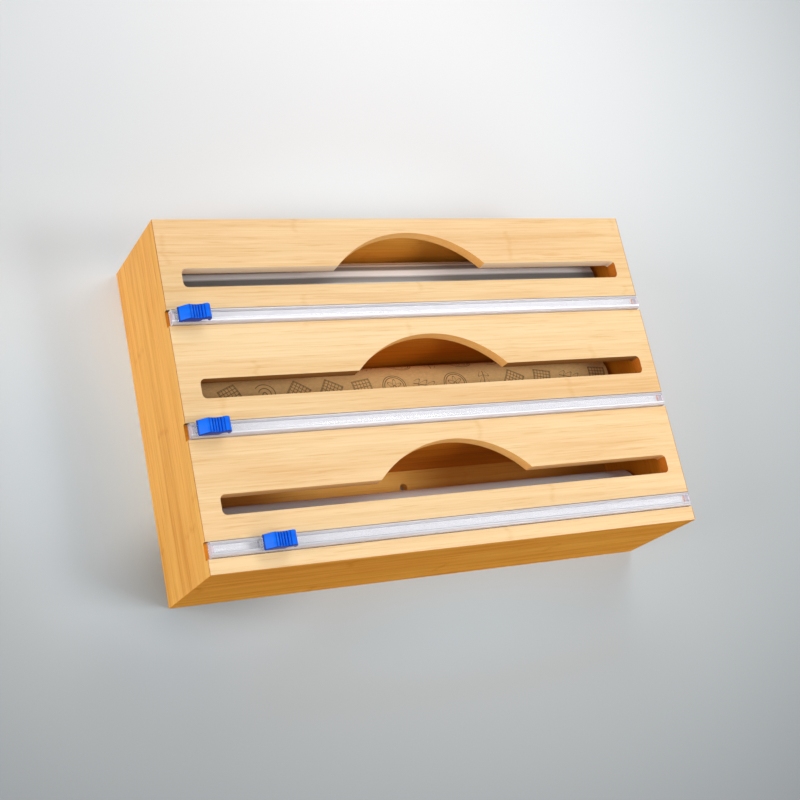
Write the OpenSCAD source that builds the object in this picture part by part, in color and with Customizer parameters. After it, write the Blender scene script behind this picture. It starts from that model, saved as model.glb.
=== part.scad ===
// Kitchen wrap dispenser: a bamboo case for three rolls, with a hinged lid, three feed slots and three slide cutters.
// The case lies on its base. X runs along the rolls, Y from the front wall to the rear wall, Z up to the lid.
// The origin is the middle of the base's underside.

/* [Case] */
// Length of the rolls that the case takes
roll_l = 305; // [250:1:460]
// Gap between a roll's end and the side wall
roll_end_gap = 4.5; // [1:0.5:20]
// Width of each of the three bays
bay_w = 61; // [58:0.5:90]
// Height of the four walls up to the lid's underside
wall_h = 71; // [64:0.5:110]
// Thickness of the wall boards
wall_t = 8; // [7:0.5:9]
// Thickness of the base panel
base_t = 6; // [4:0.5:9]
// Depth of the rebate that takes the base panel
rebate_d = 4; // [2:0.5:5]
// Thickness of the two dividers
divider_t = 8; // [6:0.5:9]
// Depth of the housings that hold the ends of a divider
housing_d = 3; // [1.5:0.5:5]
// Gap between a divider's top and the lid
divider_drop = 1; // [0.5:0.5:6]
// Radius of the eased upright edges
edge_r = 0.5; // [0.3:0.1:2]
// Gap round a board in its rebate or housing
joint_clear = 0.1; // [0.05:0.05:0.3]
// Radius of the two screw holes in the base
hang_hole_r = 2.5; // [1.5:0.25:3.5]
// Distance between the two screw holes
hang_hole_pitch = 98.5; // [90:0.5:130]

/* [Lid] */
// Thickness of the lid board
lid_t = 8; // [7:0.5:12]
// Gap across the sloped seam between the lid and the walls, measured level
seam_gap = 0.3; // [0.2:0.05:0.6]
// How much longer a feed slot is than the roll under it
slot_extra = 1; // [-60:1:6]
// Width of a feed slot
slot_w = 12; // [8:0.5:15]
// Corner radius of a feed slot
slot_r = 3; // [1:0.5:4]
// How far a feed slot lies behind the middle of its bay
slot_shift = 0.6; // [-1:0.1:3]
// How far a feed slot lies to the right of the lid's middle
slot_x = 1.2; // [-1.5:0.1:1.5]
// Width of a thumb arch along the slot
arch_w = 104; // [60:1:120]
// Height of a thumb arch behind the slot
arch_h = 22; // [12:0.5:24]

/* [Rails] */
// Distance from a slot's middle forward to its rail's middle
rail_offset = 25; // [22:0.2:27]
// Width of a rail
rail_w = 9.4; // [9:0.1:11]
// Height of a rail
rail_h = 5.5; // [5:0.1:7]
// Thickness of a rail's floor
rail_floor = 1.2; // [0.8:0.1:1.6]
// Thickness of a rail's side walls
rail_wall = 1.3; // [0.8:0.1:1.5]
// Thickness of the lips over the channel at their round edges
rail_lip_t = 1.2; // [1:0.1:1.4]
// Rise of the lips' round edges over the rail's shoulders
bead_rise = 0.4; // [0.2:0.05:0.5]
// Width of the opening between the lips
rail_gap = 4; // [3:0.1:4.5]
// Radius of a rail's upper edges
rail_r = 0.8; // [0.3:0.1:0.9]
// Distance from a rail's end to the lid's edge
rail_inset = 2; // [0.5:0.5:6]
// Depth of the groove that takes a rail
groove_d = 3; // [2:0.1:4]
// Gap between a rail and each side of its groove
groove_clear = 0.3; // [0.05:0.05:0.4]
// Thickness of the adhesive tape under a rail
tape_t = 0.5; // [0.2:0.1:1]
// Distance from the tape's long edges to the rail's
tape_inset = 1; // [0.5:0.1:3]
// Distance from the tape's ends to the rail's
tape_end_inset = 2; // [1:0.25:6]
// Length of the plug that closes each end of a channel
stop_l = 1.5; // [1:0.25:4]
// Gap round a plug in its channel
stop_clear = 0.1; // [0.05:0.05:0.2]

/* [Sliders] */
// Length of a grip
grip_l = 18.8; // [18:0.1:20.5]
// Width of a grip
grip_w = 9; // [7:0.1:10]
// Height of the upright face at a grip's front end
nose_h = 1.4; // [1:0.1:2]
// Length of the ramp behind that face
ramp_l = 5; // [4.4:0.1:5.4]
// Height of a grip over its shoe at the top of the ramp
hump_h = 5.6; // [5:0.1:7]
// Depth of the finger saddle at its lowest
saddle_h = 4.8; // [4.5:0.1:5.2]
// Radius of the finger saddle
saddle_r = 9.5; // [8:0.1:11]
// Height of the rear hump of a grip over its shoe
peak_h = 6.8; // [6.4:0.1:8]
// Radius of the rear hump
peak_r = 3.4; // [3:0.1:3.8]
// Radius of a grip's upright corners
grip_corner_r = 1; // [0.4:0.1:1.4]
// Number of finger ribs
rib_n = 7; // [3:1:8]
// Distance from one rib to the next
rib_pitch = 1.35; // [1.1:0.05:1.4]
// Radius of a rib
rib_r = 0.45; // [0.2:0.05:0.5]
// How far the middle of a rib stands over the saddle
rib_lift = 0.15; // [0:0.05:0.15]
// Height of the wrap gap under the tail
wrap_gap_h = 2.5; // [1.8:0.1:3]
// Length of the wrap gap along the grip
wrap_gap_l = 5; // [4.2:0.1:5.4]
// Length of the slope that leads up into the wrap gap
wrap_ramp = 1.2; // [0.6:0.1:2]
// Thickness of the hook at the end of the tail
hook_t = 1.6; // [1.2:0.1:2]
// Drop of the hook below the roof of the wrap gap
hook_drop = 1.6; // [0.8:0.1:1.7]
// Thickness of the shoe under a grip
shoe_t = 1.4; // [1:0.1:2]
// Width of the shoe
shoe_w = 8.4; // [6:0.1:9]
// How far the shoe's sloped nose stands out past the grip
shoe_nose = 0.8; // [0.3:0.1:1]
// Length of the foot inside the channel
foot_l = 19; // [16:0.5:24]
// How far the foot stands out past the grip's front end
foot_lead = 1.1; // [0:0.1:1.5]
// Running gap round the foot and under the shoe
slide_clear = 0.3; // [0.15:0.05:0.4]
// Radius of the two pegs that hold a grip on its shoe
peg_r = 1; // [0.6:0.1:1.4]
// Height of a peg
peg_h = 2.4; // [1.5:0.1:3]
// Distance from each end of the shoe to a peg
peg_inset = 3; // [2:0.1:4]
// Gap round a peg or a blade in its seat
seat_clear = 0.05; // [0.02:0.01:0.1]
// Thickness of a blade
blade_t = 0.4; // [0.2:0.05:0.6]
// Width of a blade along the rail
blade_w = 3.3; // [2.5:0.1:3.6]
// Width of a blade at its tip
blade_tip_w = 1.1; // [0.5:0.1:2]
// Distance from the shoe's end to the blade
blade_gap = 0.5; // [0.2:0.1:1]
// How far a blade is set up into the grip
blade_set = 1.4; // [0.8:0.1:2]
// How far a blade's tip reaches down between the lips
blade_dip = 0.6; // [0.2:0.1:0.8]
// How far the film slider stands from its end stop
film_park = 27; // [0:1:250]

/* [Rolls] */
// Outer radius of the foil roll
foil_r = 25; // [19:0.5:27]
// Outer radius of the paper roll
paper_r = 18.5; // [16:0.5:27]
// Outer radius of the film roll
film_r = 19.5; // [18:0.5:22]
// Outer radius of a card core
core_r = 15; // [12:0.5:15.5]
// Wall of a card core
core_wall = 1.5; // [0.8:0.1:3]
// Gap between a core and what is wound on it
wind_clear = 0.05; // [0.02:0.01:0.1]
// Gap between a roll and the base it lies on
roll_clear = 0.3; // [0.1:0.05:0.5]
// How far the foil roll lies behind the middle of its bay
foil_shift = 2; // [-2:0.5:2]
// How far the paper roll lies behind the middle of its bay
paper_shift = 7.4; // [-2:0.2:8]
// How far the film roll lies behind the middle of its bay
film_shift = -7; // [-8:0.5:2]

/* [Hinges and magnets] */
// Distance from the end of the case to a hinge's middle
hinge_inset = 55; // [30:1:70]
// Distance from a leaf's end to its nearest screw
leaf_end = 5; // [4:0.5:9]
// Width of a leaf on its board
leaf_w = 6.5; // [5.5:0.1:6.8]
// Thickness of a leaf
leaf_t = 1; // [0.8:0.1:1.4]
// Gap between a leaf and the seam of the lid
leaf_gap = 0.1; // [0.05:0.05:0.2]
// Outer radius of a knuckle
knuckle_r = 1.6; // [1.5:0.1:2]
// Length of the middle knuckle
knuckle_l = 11; // [6:0.5:14]
// Gap between two knuckles
knuckle_gap = 0.3; // [0.2:0.05:0.5]
// Gap between a knuckle and the rear faces of the boards
swing_clear = 0.3; // [0.2:0.05:0.6]
// Radius of a hinge pin
pin_r = 0.6; // [0.4:0.05:0.8]
// Running gap round a hinge pin
pin_clear = 0.05; // [0.02:0.01:0.1]
// Distance between the two screws of a leaf
screw_pitch = 16; // [12:0.5:18]
// Radius of a screw's shank
screw_r = 0.9; // [0.6:0.05:1]
// Radius of a screw's head
screw_head_r = 1.8; // [1.4:0.1:2]
// Length of a screw
screw_l = 5; // [3.5:0.5:5.5]
// Gap round a screw or a magnet in its hole
hole_clear = 0.05; // [0.02:0.01:0.1]
// Distance from the end of the case to a magnet's middle
magnet_inset = 45; // [20:1:90]
// Radius of a magnet
magnet_r = 2; // [1.5:0.1:2.5]
// Thickness of a magnet
magnet_t = 1.5; // [1:0.1:2]

/* [Hidden] */
$fn = 64;

// A cut runs this far past the faces it opens
over = 1;
bamboo = "#e9bd7d";
clear_plastic = "#e3e3f0";
blue_plastic = "#1a5ae8";
steel = "#b9bcc0";
brass = "#c9a24b";
card = "#b08a5c";

// Boards and bays
inner_l = roll_l + 2 * roll_end_gap;
inner_d = 3 * bay_w + 2 * divider_t;
case_l = inner_l + 2 * wall_t;
case_d = inner_d + 2 * wall_t;
bay_pitch = bay_w + divider_t;
bay_y = [bay_pitch, 0, -bay_pitch];
divider_y = bay_pitch / 2;
divider_h = wall_h - base_t - divider_drop;
base_l = inner_l + 2 * rebate_d;
base_d = inner_d + 2 * rebate_d;
lid_top = wall_h + lid_t;
rear_y = case_d / 2;
seam_slope = atan2(lid_t, wall_t);
magnet_x = case_l / 2 - magnet_inset;
magnet_y = -case_d / 2 + wall_t / 2;
magnet_z = wall_h + lid_t / 2;
lid_magnet_z = seam_gap * sin(seam_slope);

// Slots and rails, with the foil's first, then the paper's and the film's
arch_r = (arch_w * arch_w / 4 + arch_h * arch_h) / (2 * arch_h);
slot_l = roll_l + slot_extra;
slot_y = [for (y = bay_y) y + slot_shift];
rail_y = [for (y = slot_y) y - rail_offset];
rail_l = case_l - 2 * rail_inset;
rail_z = lid_top - groove_d + tape_t;
rail_top = rail_z + rail_h;
channel_w = rail_w - 2 * rail_wall;
channel_h = rail_h - rail_floor - rail_lip_t;
bead_r = rail_lip_t / 2;
groove_w = rail_w + 2 * groove_clear;

// Sliders, each measured from its grip's front end and from the top of its rail
shoe_z = slide_clear;
grip_z = shoe_z + shoe_t;
park_x = -rail_l / 2 + stop_l + slide_clear + foot_lead;
slider_x = [park_x, park_x, park_x + film_park];
wrap_gap_z = grip_z + wrap_gap_h;
wrap_gap_x = grip_l - hook_t - wrap_gap_l;
peak_x = grip_l - peak_r;
saddle_x = (ramp_l + peak_x) / 2;
saddle_z = grip_z + saddle_h + saddle_r;
shoe_l = wrap_gap_x;
neck_w = rail_gap - 2 * slide_clear;
foot_w = channel_w - 2 * slide_clear;
foot_h = channel_h - 2 * slide_clear;
foot_z = -rail_lip_t - slide_clear - foot_h;
peg_x = [peg_inset, shoe_l - peg_inset];
blade_x = wrap_gap_x + blade_gap;
blade_top = wrap_gap_z + blade_set;

// Rolls
roll_r = [foil_r, paper_r, film_r];
roll_y = bay_y + [foil_shift, paper_shift, film_shift];
roll_z = [for (r = roll_r) base_t + roll_clear + r];

// Hinges
hinge_x = case_l / 2 - hinge_inset;
leaf_l = screw_pitch + 2 * leaf_end;
hinge_out = knuckle_r + swing_clear;
case_spans = [[-leaf_l / 2, -knuckle_l / 2 - knuckle_gap], [knuckle_l / 2 + knuckle_gap, leaf_l / 2]];
lid_spans = [[-knuckle_l / 2, knuckle_l / 2]];
screw_y = -leaf_w / 2;

// Flat shapes and helpers

// A rectangle about the origin with four round corners
module round_rect(w, d, r) {
    square([w - 2 * r, d], center = true);
    square([w, d - 2 * r], center = true);
    for (sx = [-1, 1], sy = [-1, 1])
        translate([sx * (w / 2 - r), sy * (d / 2 - r)])
            circle(r);
}

// A rectangle that stands on the X axis with its two upper corners round
module round_top(w, h, r) {
    translate([-w / 2, 0])
        square([w, h - r]);
    translate([r - w / 2, 0])
        square([w - 2 * r, h]);
    for (s = [-1, 1])
        translate([s * (w / 2 - r), h - r])
            circle(r);
}

// Draws out a profile of Y and Z along X, and one of X and Z along Y, both about the origin
module along_x(l) {
    rotate([90, 0, 90])
        linear_extrude(l, center = true)
            children();
}

module along_y(l) {
    rotate([90, 0, 0])
        linear_extrude(l, center = true)
            children();
}

// A block that stands on its XY plane, centred in X and Y
module block(l, d, h) {
    translate([-l / 2, -d / 2, 0])
        cube([l, d, h]);
}

// Case

// Top view of a wall board along X with its outer face on Y = 0, and how far each end is cut back at the inner face
module board_plan(l, cut_left, cut_right) {
    polygon([[-l / 2, 0], [l / 2, 0], [l / 2 - cut_right, wall_t], [cut_left - l / 2, wall_t]]);
}

// One wall board with both ends mitred
module mitred_board(l) {
    linear_extrude(wall_h)
        board_plan(l, wall_t, wall_t);
}

// The sloped top of a board, which rises from the lid's underside to the lid's face
module board_crest(l, cut_left, cut_right) {
    intersection() {
        linear_extrude(lid_top)
            board_plan(l, cut_left, cut_right);
        along_x(l)
            polygon([[0, wall_h], [wall_t, wall_h], [0, lid_top]]);
    }
}

// Trims the boards to the eased outline of the case and cuts the rebate for the base
module case_wall() {
    difference() {
        intersection() {
            union()
                children();
            linear_extrude(lid_top)
                round_rect(case_l, case_d, edge_r);
        }
        translate([0, 0, -over])
            block(base_l, base_d, base_t + over);
    }
}

// A side wall's crest is mitred at the front and runs over the rear wall's end
module side_wall(side) {
    rear_cut = 0;
    color(bamboo)
        difference() {
            case_wall()
                rotate(-90 * side)
                    translate([0, -case_l / 2, 0]) {
                        mitred_board(case_d);
                        board_crest(case_d, side > 0 ? rear_cut : wall_t, side > 0 ? wall_t : rear_cut);
                    }
            for (s = [-1, 1])
                translate([0, s * divider_y, base_t])
                    block(inner_l + 2 * housing_d, divider_t + 2 * joint_clear, divider_h + joint_clear);
            rail_grooves();
        }
}

module left_wall() { side_wall(1); }

module right_wall() { side_wall(-1); }

module front_wall() {
    color(bamboo)
        difference() {
            case_wall()
                translate([0, -case_d / 2, 0]) {
                    mitred_board(case_l);
                    board_crest(case_l, wall_t, wall_t);
                }
            at_magnets()
                translate([0, 0, -magnet_t])
                    cylinder(h = magnet_t + over, r = magnet_r + hole_clear);
        }
}

module rear_wall() {
    color(bamboo)
        difference() {
            case_wall()
                mirror([0, 1, 0])
                    translate([0, -case_d / 2, 0])
                        mitred_board(case_l);
            for (s = [-1, 1])
                at_hinge(s)
                    leaf_mortise();
        }
}

module base_panel() {
    color(bamboo)
        difference() {
            block(base_l - 2 * joint_clear, base_d - 2 * joint_clear, base_t);
            for (s = [-1, 1])
                translate([0, s * hang_hole_pitch / 2, -over])
                    cylinder(h = base_t + 2 * over, r = hang_hole_r);
        }
}

module divider(side) {
    color(bamboo)
        translate([0, side * divider_y, base_t])
            along_x(inner_l + 2 * housing_d - 2 * joint_clear)
                round_top(divider_t, divider_h, edge_r);
}

module front_divider() { divider(-1); }

module rear_divider() { divider(1); }

// Hinges, drawn on the seam with the rear face of the boards on Y = 0 and the case's leaf below

module at_hinge(side) {
    translate([side * hinge_x, rear_y, wall_h])
        children();
}

module screw_places() {
    for (s = [-1, 1])
        translate([s * screw_pitch / 2, screw_y, -leaf_gap])
            children();
}

// A countersunk screw with its head's face at the origin, and the same shape grown by a gap as a hole
module screw(grow) {
    tip_h = 2 * screw_r;
    rotate([180, 0, 0]) {
        cylinder(h = leaf_t, r1 = screw_head_r + grow, r2 = screw_r + grow);
        cylinder(h = screw_l - tip_h + grow, r = screw_r + grow);
        translate([0, 0, screw_l - tip_h + grow])
            cylinder(h = tip_h, r1 = screw_r + grow, r2 = 0);
    }
}

module leaf_mortise() {
    translate([-leaf_l / 2 - joint_clear, -leaf_w - joint_clear, -leaf_gap - leaf_t])
        cube([leaf_l + 2 * joint_clear, leaf_w + joint_clear + over, leaf_t + leaf_gap + over]);
    screw_places()
        screw(hole_clear);
}

module leaf(spans, bore_r) {
    color(brass)
        difference() {
            union() {
                translate([-leaf_l / 2, -leaf_w, -leaf_gap - leaf_t])
                    cube([leaf_l, leaf_w, leaf_t]);
                for (s = spans)
                    translate([s[0], 0, 0]) {
                        translate([0, -leaf_t, -leaf_gap - leaf_t])
                            cube([s[1] - s[0], leaf_t + hinge_out, leaf_t]);
                        translate([0, hinge_out, 0])
                            rotate([0, 90, 0])
                                cylinder(h = s[1] - s[0], r = knuckle_r);
                    }
            }
            translate([-leaf_l / 2 - over, hinge_out, 0])
                rotate([0, 90, 0])
                    cylinder(h = leaf_l + 2 * over, r = bore_r);
            screw_places()
                screw(hole_clear);
        }
}

module case_leaf(side) {
    at_hinge(side)
        leaf(case_spans, pin_r);
}

module lid_leaf(side) {
    at_hinge(side)
        mirror([0, 0, 1])
            leaf(lid_spans, pin_r + pin_clear);
}

module left_case_leaf() { case_leaf(-1); }

module right_case_leaf() { case_leaf(1); }

module left_lid_leaf() { lid_leaf(-1); }

module right_lid_leaf() { lid_leaf(1); }

module hinge_pin(side) {
    color(steel)
        at_hinge(side)
            translate([-leaf_l / 2, hinge_out, 0])
                rotate([0, 90, 0])
                    cylinder(h = leaf_l, r = pin_r);
}

module left_hinge_pin() { hinge_pin(-1); }

module right_hinge_pin() { hinge_pin(1); }

module case_hinge_screws() {
    color(brass)
        for (s = [-1, 1])
            at_hinge(s)
                screw_places()
                    screw(0);
}

module lid_hinge_screws() {
    color(brass)
        for (s = [-1, 1])
            at_hinge(s)
                mirror([0, 0, 1])
                    screw_places()
                        screw(0);
}

// Both magnet places in the middle of the front seam, with Z square to the sloped faces and into the lid
module at_magnets() {
    for (s = [-1, 1])
        translate([s * magnet_x, magnet_y, magnet_z])
            rotate([-seam_slope, 0, 0])
                children();
}

module magnet_pair(z) {
    color(steel)
        at_magnets()
            translate([0, 0, z])
                cylinder(h = magnet_t, r = magnet_r);
}

module case_magnets() { magnet_pair(-magnet_t); }

module lid_magnets() { magnet_pair(lid_magnet_z); }

// Lid

// The outline of a feed slot with its thumb arch, about the slot's middle
module slot_outline() {
    round_rect(slot_l, slot_w, slot_r);
    intersection() {
        translate([0, slot_w / 2 + arch_h - arch_r])
            circle(arch_r);
        translate([-arch_w / 2, 0])
            square([arch_w, slot_w / 2 + arch_h]);
    }
}

// The grooves for the three rails, which run out through the side walls' crests
module rail_grooves() {
    for (y = rail_y)
        translate([0, y, lid_top - groove_d])
            block(case_l + 2 * over, groove_w, groove_d + over);
}

// The lid's board, mitred to the front and side walls and square over the rear wall
module lid_board() {
    low_x = inner_l / 2 - seam_gap;
    high_x = case_l / 2 - seam_gap;
    intersection() {
        along_y(case_d)
            polygon([[-low_x, wall_h], [low_x, wall_h], [high_x, lid_top], [-high_x, lid_top]]);
        along_x(case_l)
            polygon([
                [seam_gap - inner_d / 2, wall_h], [rear_y, wall_h], [rear_y, lid_top], [seam_gap - case_d / 2, lid_top]
            ]);
    }
}

module lid_panel() {
    color(bamboo)
        difference() {
            lid_board();
            for (y = slot_y)
                translate([slot_x, y, wall_h - over])
                    linear_extrude(lid_t + 2 * over)
                        slot_outline();
            rail_grooves();
            for (s = [-1, 1])
                at_hinge(s)
                    mirror([0, 0, 1])
                        leaf_mortise();
            at_magnets()
                translate([0, 0, lid_magnet_z - over])
                    cylinder(h = magnet_t + over, r = magnet_r + hole_clear);
        }
}

// Rails

// Section of a rail: a channel with two lips over it, each with a round edge that stands over the shoulder
module rail_section() {
    mouth_w = rail_gap + 2 * bead_r;
    difference() {
        round_top(rail_w, rail_h - bead_rise, rail_r);
        translate([-channel_w / 2, rail_floor])
            square([channel_w, channel_h]);
        translate([-mouth_w / 2, rail_floor])
            square([mouth_w, rail_h]);
    }
    for (s = [-1, 1])
        translate([s * mouth_w / 2, rail_h - bead_r])
            circle(bead_r);
}

module rail(i) {
    color(clear_plastic)
        translate([0, rail_y[i], rail_z])
            along_x(rail_l)
                rail_section();
}

module foil_rail() { rail(0); }

module paper_rail() { rail(1); }

module film_rail() { rail(2); }

module rail_tape(i) {
    color("white")
        translate([0, rail_y[i], lid_top - groove_d])
            block(rail_l - 2 * tape_end_inset, rail_w - 2 * tape_inset, tape_t);
}

module foil_rail_tape() { rail_tape(0); }

module paper_rail_tape() { rail_tape(1); }

module film_rail_tape() { rail_tape(2); }

// Both end plugs of a channel, on its floor and level with its lips
module rail_stops(i) {
    color(clear_plastic)
        for (s = [-1, 1])
            translate([s * (rail_l - stop_l) / 2, rail_y[i], rail_z + rail_floor]) {
                block(stop_l, channel_w - 2 * stop_clear, channel_h - stop_clear);
                block(stop_l, rail_gap - 2 * stop_clear, rail_h - rail_floor);
            }
}

module foil_rail_stops() { rail_stops(0); }

module paper_rail_stops() { rail_stops(1); }

module film_rail_stops() { rail_stops(2); }

// Sliders

module at_slider(i) {
    translate([slider_x[i], rail_y[i], rail_top])
        children();
}

// Side view of a grip in X and Z: a ramp, a finger saddle, a rear hump, and a hooked tail over the wrap gap
module grip_outline() {
    difference() {
        intersection() {
            union() {
                translate([peak_x, grip_z + peak_h - peak_r])
                    circle(peak_r);
                polygon([
                    [0, grip_z], [0, grip_z + nose_h], [ramp_l, grip_z + hump_h],
                    [peak_x, grip_z + peak_h], [grip_l, grip_z + peak_h - peak_r], [grip_l, grip_z]
                ]);
            }
            translate([0, grip_z])
                square([grip_l, peak_h]);
        }
        translate([saddle_x, saddle_z])
            circle(saddle_r);
        polygon([
            [wrap_gap_x, grip_z - over], [wrap_gap_x, grip_z], [wrap_gap_x + wrap_ramp, wrap_gap_z],
            [grip_l - hook_t, wrap_gap_z], [grip_l - hook_t, wrap_gap_z - hook_drop],
            [grip_l + over, wrap_gap_z - hook_drop], [grip_l + over, grip_z - over]
        ]);
    }
}

// Height of the saddle at a place along the grip
function saddle_at(x) = saddle_z - sqrt(pow(saddle_r, 2) - pow(x - saddle_x, 2));

module grip(i) {
    color(blue_plastic)
        at_slider(i)
            difference() {
                union() {
                    intersection() {
                        along_y(grip_w)
                            grip_outline();
                        translate([grip_l / 2, 0, 0])
                            linear_extrude(grip_z + peak_h)
                                round_rect(grip_l, grip_w, grip_corner_r);
                    }
                    for (k = [0 : rib_n - 1]) {
                        x = saddle_x + (k - (rib_n - 1) / 2) * rib_pitch;
                        translate([x, 0, saddle_at(x) + rib_lift])
                            along_y(grip_w - 2 * rib_r)
                                circle(rib_r);
                    }
                }
                for (x = peg_x)
                    translate([x, 0, grip_z - over])
                        cylinder(h = peg_h + seat_clear + over, r = peg_r + seat_clear);
                translate([blade_x - seat_clear, -blade_t / 2 - seat_clear, 0])
                    cube([blade_w + 2 * seat_clear, blade_t + 2 * seat_clear, blade_top]);
            }
}

module foil_grip() { grip(0); }

module paper_grip() { grip(1); }

module film_grip() { grip(2); }

// The foot in the channel, the neck between the lips, the sloped shoe on top and two pegs for the grip
module runner(i) {
    color(clear_plastic)
        at_slider(i) {
            translate([foot_l / 2 - foot_lead, 0, foot_z])
                block(foot_l, foot_w, foot_h);
            translate([shoe_l / 2, 0, foot_z])
                block(shoe_l, neck_w, shoe_z - foot_z + shoe_t / 2);
            along_y(shoe_w)
                polygon([[-shoe_nose, shoe_z], [shoe_l, shoe_z], [shoe_l, grip_z], [0, grip_z]]);
            for (x = peg_x)
                translate([x, 0, shoe_z])
                    cylinder(h = shoe_t + peg_h, r = peg_r);
        }
}

module foil_runner() { runner(0); }

module paper_runner() { runner(1); }

module film_runner() { runner(2); }

// A flat blade, set up into the grip, with its slanted edge across the wrap gap and its tip between the lips
module blade(i) {
    color(steel)
        at_slider(i)
            translate([blade_x, 0, 0])
                along_y(blade_t)
                    polygon([
                        [0, -blade_dip], [0, blade_top], [blade_w, blade_top],
                        [blade_w, wrap_gap_z], [blade_tip_w, -blade_dip]
                    ]);
}

module foil_blade() { blade(0); }

module paper_blade() { blade(1); }

module film_blade() { blade(2); }

// Rolls

// A tube along X at the middle of a roll
module roll_tube(i, outer, inner) {
    translate([-roll_l / 2, roll_y[i], roll_z[i]])
        rotate([0, 90, 0])
            difference() {
                cylinder(h = roll_l, r = outer);
                translate([0, 0, -over])
                    cylinder(h = roll_l + 2 * over, r = inner);
            }
}

module wound_roll(i) { roll_tube(i, roll_r[i], core_r + wind_clear); }

module core(i) {
    color(card)
        roll_tube(i, core_r, core_r - core_wall);
}

module foil_roll() { color("silver") wound_roll(0); }

module paper_roll() { color("#be9669") wound_roll(1); }

module film_roll() { color("#f0eff6") wound_roll(2); }

module foil_core() { core(0); }

module paper_core() { core(1); }

module film_core() { core(2); }

base_panel();
left_wall();
right_wall();
front_wall();
rear_wall();
front_divider();
rear_divider();
left_case_leaf();
right_case_leaf();
left_hinge_pin();
right_hinge_pin();
case_hinge_screws();
case_magnets();
lid_panel();
foil_rail();
paper_rail();
film_rail();
foil_rail_tape();
paper_rail_tape();
film_rail_tape();
foil_rail_stops();
paper_rail_stops();
film_rail_stops();
left_lid_leaf();
right_lid_leaf();
lid_hinge_screws();
lid_magnets();
foil_grip();
foil_runner();
foil_blade();
paper_grip();
paper_runner();
paper_blade();
film_grip();
film_runner();
film_blade();
foil_roll();
foil_core();
paper_roll();
paper_core();
film_roll();
film_core();
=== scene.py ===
import math
import random

import bpy
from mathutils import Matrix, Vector


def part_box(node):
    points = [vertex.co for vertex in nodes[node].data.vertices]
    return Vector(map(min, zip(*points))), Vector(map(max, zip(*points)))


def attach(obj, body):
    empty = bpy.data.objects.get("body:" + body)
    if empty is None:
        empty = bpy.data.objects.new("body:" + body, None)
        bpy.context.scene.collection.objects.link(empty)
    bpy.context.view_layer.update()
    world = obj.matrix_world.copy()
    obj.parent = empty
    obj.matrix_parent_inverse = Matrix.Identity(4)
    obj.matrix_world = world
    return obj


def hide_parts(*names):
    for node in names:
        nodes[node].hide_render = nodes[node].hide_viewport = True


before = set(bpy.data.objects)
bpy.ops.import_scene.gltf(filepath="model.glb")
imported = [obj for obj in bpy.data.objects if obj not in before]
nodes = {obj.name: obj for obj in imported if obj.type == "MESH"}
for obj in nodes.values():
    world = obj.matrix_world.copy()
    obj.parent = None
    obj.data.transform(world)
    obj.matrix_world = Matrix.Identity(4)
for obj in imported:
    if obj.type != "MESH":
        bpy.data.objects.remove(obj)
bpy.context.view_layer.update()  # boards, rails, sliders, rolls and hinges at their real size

mm = 0.001
wraps = ("foil", "paper", "film")  # from the rear bay to the front one
caseEnds = ("left", "right")
print("frame loaded,", len(nodes), "nodes")

# Camera

cameraShot = {
    "place": (-0.45404, -0.27647, 0.88437),
    "turn": (23.7053, -25.3476, -13.2060),  # degrees about X, Y and Z
    "lens": 70.445,
    "sensor": 36.0,
    "shift": (-0.05, -0.0625),  # the picture's middle lies left of and below the lens axis
    "clip": (0.01, 50),
}


def placeCamera(shot):
    bpy.ops.object.camera_add(location=shot["place"], rotation=[math.radians(a) for a in shot["turn"]])
    camera = bpy.context.object
    camera.name = "productCamera"
    camera.data.sensor_width = shot["sensor"]
    camera.data.lens = shot["lens"]
    camera.data.shift_x, camera.data.shift_y = shot["shift"]
    camera.data.clip_start, camera.data.clip_end = shot["clip"]
    bpy.context.scene.camera = camera


placeCamera(cameraShot)
bpy.context.scene.view_settings.view_transform = "Standard"
print("camera placed")

# Helpers for node trees

noiseSpan = (0.3, 0.7)  # where most values of a noise lie


def addNode(tree, kind, inputs=None, **settings):
    node = tree.nodes.new(kind)
    for name, value in settings.items():
        setattr(node, name, value)
    for key, value in (inputs or {}).items():
        if isinstance(value, bpy.types.NodeSocket):
            tree.links.new(value, node.inputs[key])
        else:
            node.inputs[key].default_value = value
    return node


def calc(tree, operation, *values):
    return addNode(tree, "ShaderNodeMath", dict(enumerate(values)), operation=operation).outputs[0]


def fromMiddle(tree, value):  # place in its cell, from -0.5 to 0.5
    return calc(tree, "SUBTRACT", calc(tree, "FRACT", value), 0.5)


def splitAxes(tree, vector):
    return addNode(tree, "ShaderNodeSeparateXYZ", {0: vector}).outputs


def lengthOf(tree, vector):
    return addNode(tree, "ShaderNodeVectorMath", {0: vector}, operation="LENGTH").outputs["Value"]


def blendColours(tree, factor, first, second, how="MIX"):
    mix = addNode(tree, "ShaderNodeMix", {0: factor, 6: first, 7: second}, data_type="RGBA", blend_type=how)
    return mix.outputs[2]


def remap(tree, value, low, high, toLow=0.0, toHigh=1.0):
    ramp = {"Value": value, "From Min": low, "From Max": high, "To Min": toLow, "To Max": toHigh}
    return addNode(tree, "ShaderNodeMapRange", ramp).outputs[0]


def spread(tree, noise, toLow=0.0, toHigh=1.0):
    return remap(tree, noise, *noiseSpan, toLow, toHigh)


def stretchedNoise(tree, vector, stretch, detail=3.0, roughness=0.55):
    scaled = addNode(tree, "ShaderNodeVectorMath", {0: vector, 1: stretch}, operation="MULTIPLY").outputs[0]
    noise = {"Vector": scaled, "Scale": 1.0, "Detail": detail, "Roughness": roughness}
    return addNode(tree, "ShaderNodeTexNoise", noise).outputs["Fac"]


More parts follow.
